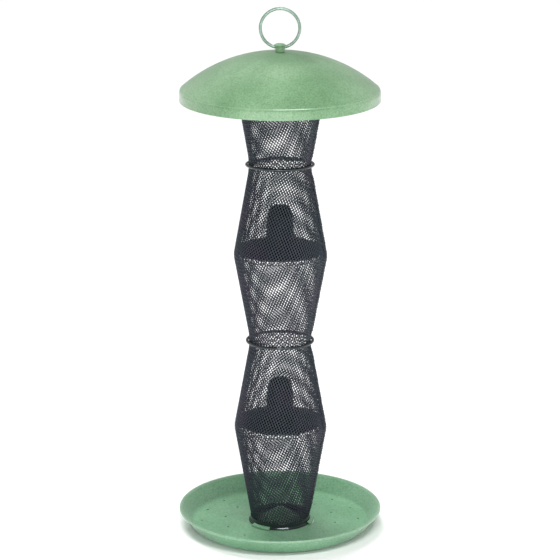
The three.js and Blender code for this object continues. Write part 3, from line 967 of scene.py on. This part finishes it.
def bent_strip(name, corners, thickness, width, bend, hole_z):
    """A flat strip bent to a path in the XZ plane, the same on both sides of X = 0: a rectangle
    with small bevels carried along the path, whose corners are arcs, and drilled for the stud."""
    right = rounded([(x, z, bend if k > 0 else 0) for k, (x, z) in enumerate(corners[:-1])]
                    + [(*corners[-1], 0), (-1, corners[0][1], 0)], 5)[:-1]
    path = np.concatenate([(right[1:] * [-1, 1])[::-1], right])
    along = np.gradient(path, axis=0)
    along /= np.linalg.norm(along, axis=1, keepdims=True)
    normal = np.stack([-along[:, 1], along[:, 0]], axis=1)
    bevel = 0.15 * MM
    u, v = width / 2, thickness / 2
    section = np.array([(-u, -v + bevel), (-u + bevel, -v), (u - bevel, -v), (u, -v + bevel),
                        (u, v - bevel), (u - bevel, v), (-u + bevel, v), (-u, v - bevel)])
    x = path[:, None, 0] + normal[:, None, 0] * section[None, :, 1]
    z = path[:, None, 1] + normal[:, None, 1] * section[None, :, 1]
    y = section[None, :, 0] + 0 * x
    caps = np.stack([np.arange(8)[::-1], (len(path) - 1) * 8 + np.arange(8)])
    points = np.stack([x, y, z], axis=-1).reshape(-1, 3)
    strip = mesh_piece(name, points, [grid_faces(len(path), 8, False, True), caps], 30)
    reach = 4 * MM
    cutter = rod(f"{name}_hole", STUD_HOLE, (0, 0, hole_z - reach), (0, 0, hole_z + reach))
    return drilled(strip, cutter, 30)


def roof_bridge():
    """The bridge that the roof stands on: a raised middle, two sloping arms, and feet whose lips
    hang down outside the top hoop."""
    sheet, flat, foot, lip = 1.2 * MM, 10 * MM, 3.6 * MM, 4.8 * MM
    top = high("roof_bridge")[2] - sheet / 2
    end = high("roof_bridge")[0] - sheet / 2
    base = low("roof_bridge")[2] + lip + sheet / 2
    corners = [(0, top), (flat, top), (end - foot, base), (end, base), (end, low("roof_bridge")[2])]
    return bent_strip("bridge_strip", corners, sheet, 14 * MM, 1.2 * MM, top)


def latch_strip():
    """The latch spring: arms that run down inside the top hoop, bulge out to hook under its flange,
    and end in finger tails."""
    sheet, width, flat = 0.6 * MM, 10 * MM, 10 * MM
    hook, drop, tail_lean = 2.3 * MM, 3.2 * MM, 2.4 * MM
    top = high("latch_spring")[2] - sheet / 2
    hoop_top = high("top_hoop")[2]
    flange_edge = outer_radius("top_hoop") - TOP_FLANGE
    leg = math.sqrt(flange_edge ** 2 - (width / 2) ** 2) - TOUCH - sheet
    under = hoop_top - TOP_SHEET
    bulge = under + TOUCH - drop
    corners = [(0, top), (flat, top), (leg, hoop_top + TOUCH), (leg, under + TOUCH),
               (leg + hook, bulge), (leg - tail_lean, low("latch_spring")[2])]
    return bent_strip("latch_strip", corners, sheet, width, 0.9 * MM, top)


def hex_nut():
    """The nut: at angle a and height z its radius is the smaller of the hexagon's, half the size
    across flats over cos(a), and a cone's that chamfers both ends."""
    half_flats, sides, bevel = 5 * MM, 192, 0.5 * MM
    bottom, top = low("roof_nut")[2], high("roof_nut")[2]
    a = np.linspace(0, TAU, sides, endpoint=False)[:, None]
    z = np.concatenate([bottom + np.linspace(0, 0.8, 7) * MM, top - np.linspace(0.8, 0, 7) * MM])
    hexagon = half_flats / np.cos((a - math.pi / 6) % (math.pi / 3) - math.pi / 6)
    depth = np.minimum(z - bottom, top - z)[None, :]
    outside = np.minimum(hexagon, half_flats * 0.97 + depth / math.tan(math.radians(32)))
    inside = np.array([STUD_HOLE + bevel, STUD_HOLE, STUD_HOLE, STUD_HOLE + bevel])
    inside_z = np.array([top, top - bevel, bottom + bevel, bottom])
    r = np.concatenate([outside, inside[None, :] + 0 * a], axis=1)
    z = np.concatenate([z, inside_z])[None, :] + 0 * a
    points = np.stack([r * np.cos(a), r * np.sin(a), z], axis=-1)
    return mesh_piece("hex_nut", points.reshape(-1, 3), [grid_faces(sides, r.shape[1], True, True)], 25)


def flat_washer():
    """The washer: a flat ring with rounded edges."""
    bottom, top = low("roof_washer")[2], high("roof_washer")[2]
    rim = outer_radius("roof_washer")
    corners = [(STUD_HOLE, bottom), (rim, bottom), (rim, top), (STUD_HOLE, top)]
    return turned("flat_washer", rounded([(r, z, 0.25 * MM) for r, z in corners], 3), 96)


settle(roof_bridge(), ZINC, "roof", "roof_bridge")
settle(latch_strip(), ZINC, "roof", "latch_spring")
settle(hex_nut(), ZINC, "roof", "roof_nut")
settle(flat_washer(), ZINC, "roof", "roof_washer")


# ---------- Stage, light and camera ----------

FLOOR_HALF = 8
FLOOR_GAP = 0.4 * MM        # the floor lies this far below the tray
floor_corners = np.array([(-1, -1), (1, -1), (1, 1), (-1, 1)]) * FLOOR_HALF
floor_points = np.concatenate([floor_corners, np.full((4, 1), -FLOOR_GAP)], axis=1)
floor = mesh_piece("floor", floor_points, [np.array([[0, 1, 2, 3]])])
paper, _, _, _ = material("white_paper", (0.98, 0.98, 0.98), 0.8)
floor.data.materials.append(paper)


def soft_light(name, place, aim, width, height, power):
    """A soft box of light that faces a point, itself out of sight."""
    lamp = bpy.data.lights.new(name, "AREA")
    lamp.shape = "RECTANGLE"
    lamp.size, lamp.size_y, lamp.energy = width, height, power
    holder = bpy.data.objects.new(name, lamp)
    bpy.context.collection.objects.link(holder)
    holder.location = place
    way = np.array(aim, float) - np.array(place, float)
    holder.rotation_euler = Vector(way).to_track_quat("-Z", "Y").to_euler()
    holder.visible_camera = False


def soft_sun(name, source, strength, angle, glossy=True):
    """A far, wide light whose rays come from the source's direction, unseen in shine if not glossy."""
    lamp = bpy.data.lights.new(name, "SUN")
    lamp.energy, lamp.angle = strength, math.radians(angle)
    holder = bpy.data.objects.new(name, lamp)
    bpy.context.collection.objects.link(holder)
    holder.rotation_euler = (-Vector(source)).to_track_quat("-Z", "Y").to_euler()
    holder.visible_glossy = glossy


def studio_sky(overhead, sides):
    """A white sky whose strength is overhead + sides * x * x in the direction (x, y, z)."""
    world = bpy.data.worlds.new("studio")
    world.use_nodes = True
    nodes, link = world.node_tree.nodes, world.node_tree.links.new
    way = nodes.new("ShaderNodeTexCoord")
    parts = nodes.new("ShaderNodeSeparateXYZ")
    link(way.outputs["Generated"], parts.inputs["Vector"])
    square, total = nodes.new("ShaderNodeMath"), nodes.new("ShaderNodeMath")
    square.operation = "MULTIPLY"
    link(parts.outputs["X"], square.inputs[0])
    link(parts.outputs["X"], square.inputs[1])
    total.operation = "MULTIPLY_ADD"
    link(square.outputs[0], total.inputs[0])
    total.inputs[1].default_value, total.inputs[2].default_value = sides, overhead
    link(total.outputs[0], nodes["Background"].inputs["Strength"])
    nodes["Background"].inputs["Color"].default_value = (1, 1, 1, 1)
    bpy.context.scene.world = world


soft_light("crease_box", (0.15, -1.1, 2.3), (0, 0, 0.4), 0.9, 0.3, 20)
soft_light("hoop_spark", (0.75, -1.0, 2.2), (0, 0, 0), 0.25, 0.25, 12)
soft_light("front_card", (0, -0.75, 0.02), (0, 0, 0.4), 1.2, 0.5, 4.5)
soft_sun("front_light", (-0.05, -1, 0.06), 0.9, 12)
soft_sun("back_light", (-0.25, 0.6, 0.75), 2.5, 35, glossy=False)
studio_sky(0.28, 0.45)
bpy.context.scene.view_settings.view_transform = "Standard"

CAMERA_AWAY = 2.249
CAMERA_HEIGHT = 0.865
CAMERA_PITCH = math.radians(15.76)
camera_data = bpy.data.cameras.new("camera")
camera_data.lens = 167.2
camera_data.sensor_width = 36
camera = bpy.data.objects.new("camera", camera_data)
bpy.context.collection.objects.link(camera)
camera.location = (0, -CAMERA_AWAY, CAMERA_HEIGHT)
camera.rotation_euler = (math.pi / 2 - CAMERA_PITCH, 0, 0)
bpy.context.scene.camera = camera
